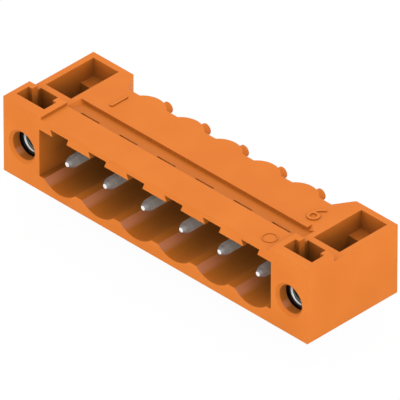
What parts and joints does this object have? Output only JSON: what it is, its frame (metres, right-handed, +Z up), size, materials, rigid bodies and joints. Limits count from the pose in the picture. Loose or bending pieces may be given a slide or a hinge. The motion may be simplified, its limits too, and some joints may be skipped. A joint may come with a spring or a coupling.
{
  "type": "pin header",
  "caption": "Right-angle board pin header: one-piece shrouded housing with scooped plug cavity, pointed contacts, screw flanges with captive square nuts, and bent solder tails.",
  "frame": {"origin": "centre of the housing's board seat, in plan the centre of its length and depth", "axes": "+X along the row of contacts, -Y towards the mating plug, +Z up from the board"},
  "size_m": [0.0404, 0.012, 0.0117],
  "materials": {
    "housing": "fine matt moulded glass-filled plastic",
    "contact": "tin plated, satin",
    "nut": "black plated, bright metal where the bore and its countersink are cut"
  },
  "bodies": {
    "root": {"housing": "housing", "contact_pin_1": "contact", "contact_pin_2": "contact", "contact_pin_3": "contact", "contact_pin_4": "contact", "contact_pin_5": "contact", "contact_pin_6": "contact", "flange_nut_left": "nut", "flange_nut_right": "nut"}
  },
  "joints": []
}
